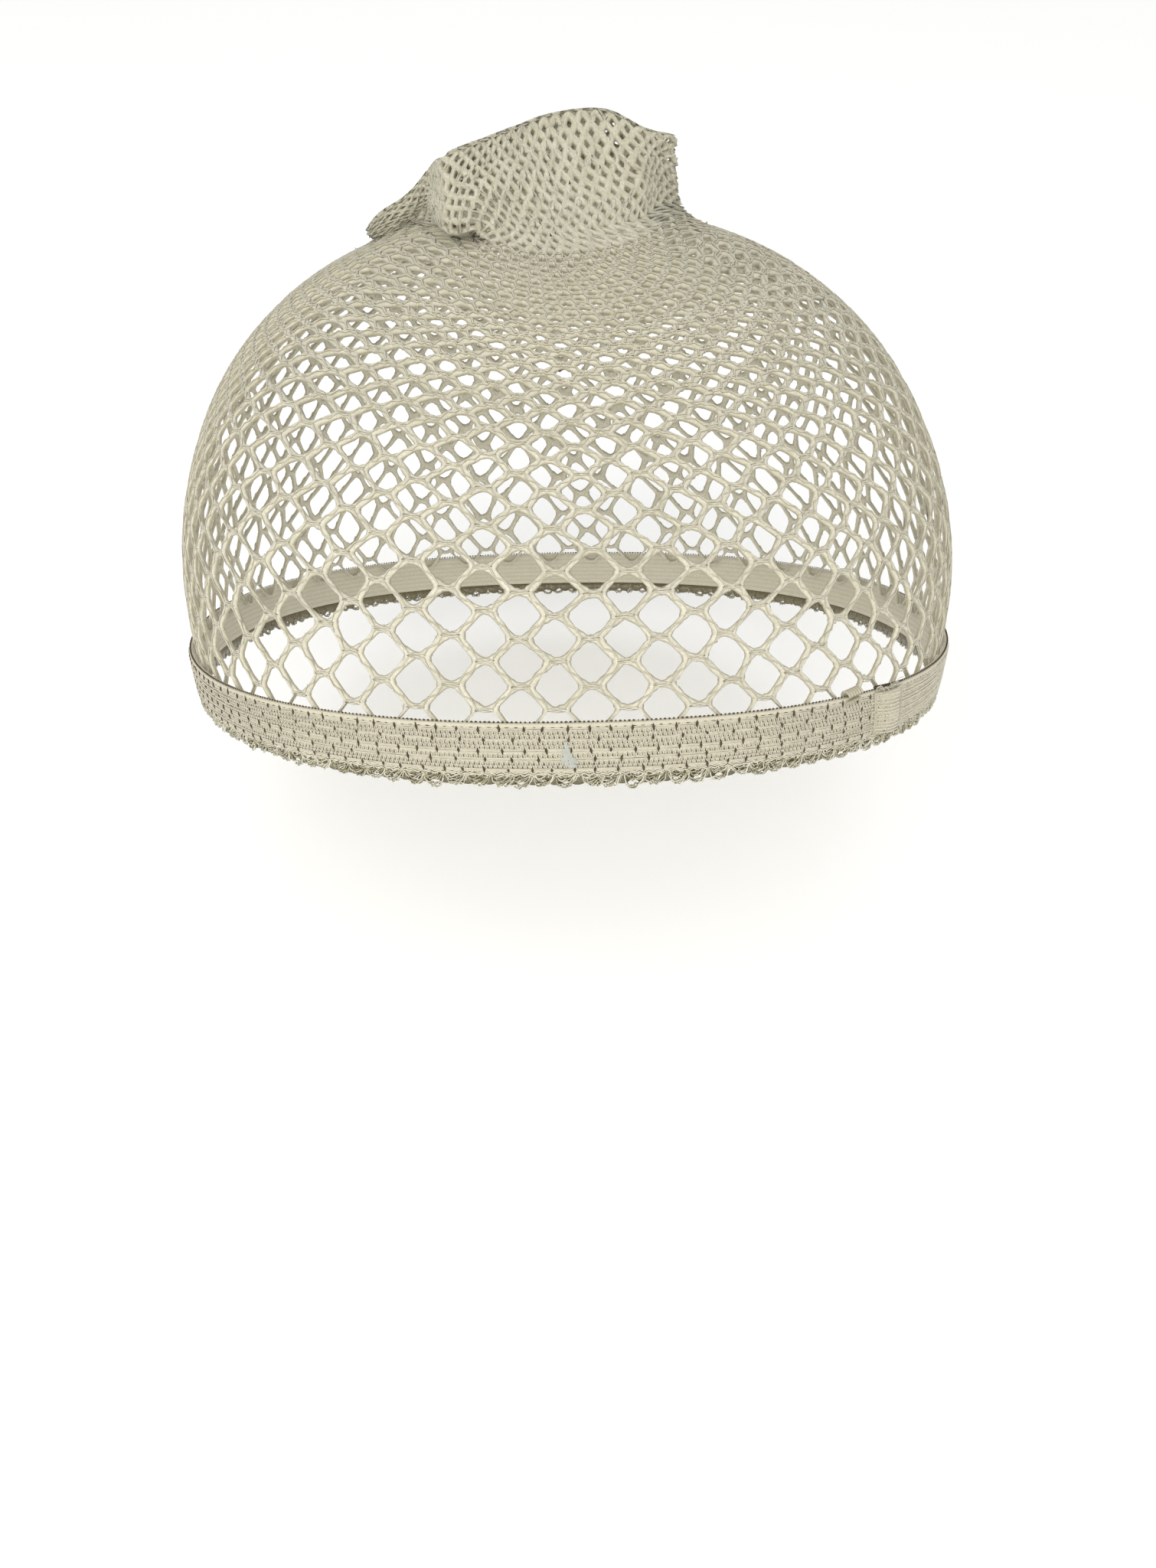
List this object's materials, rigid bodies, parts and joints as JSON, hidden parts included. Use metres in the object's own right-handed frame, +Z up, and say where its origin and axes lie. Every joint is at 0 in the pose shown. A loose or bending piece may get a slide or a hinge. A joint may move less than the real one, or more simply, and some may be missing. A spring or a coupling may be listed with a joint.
{
  "type": "knitted wig cap",
  "caption": "Stretch net cap worn under a wig: open-cell net dome with a closed crumpled crest, on a lapped elastic band with a looped edge.",
  "frame": {"origin": "the middle of the head opening, on the head's upright axis, level with the middle of the tilted rim", "axes": "+Z up as worn, the front (the hairline side) faces -Y, +X is to the right as seen from the front"},
  "size_m": [0.1576, 0.1859, 0.1438],
  "materials": {
    "net_yarn": "matt spun yarn, light beige",
    "elastic": "knitted elastic tape, greyish beige",
    "loop_thread": "lustrous twisted thread"
  },
  "bodies": {
    "root": {"net": "net_yarn", "elastic_band": "elastic", "band_join": "elastic", "band_tail": "elastic", "picot_edge": "loop_thread"}
  },
  "joints": []
}
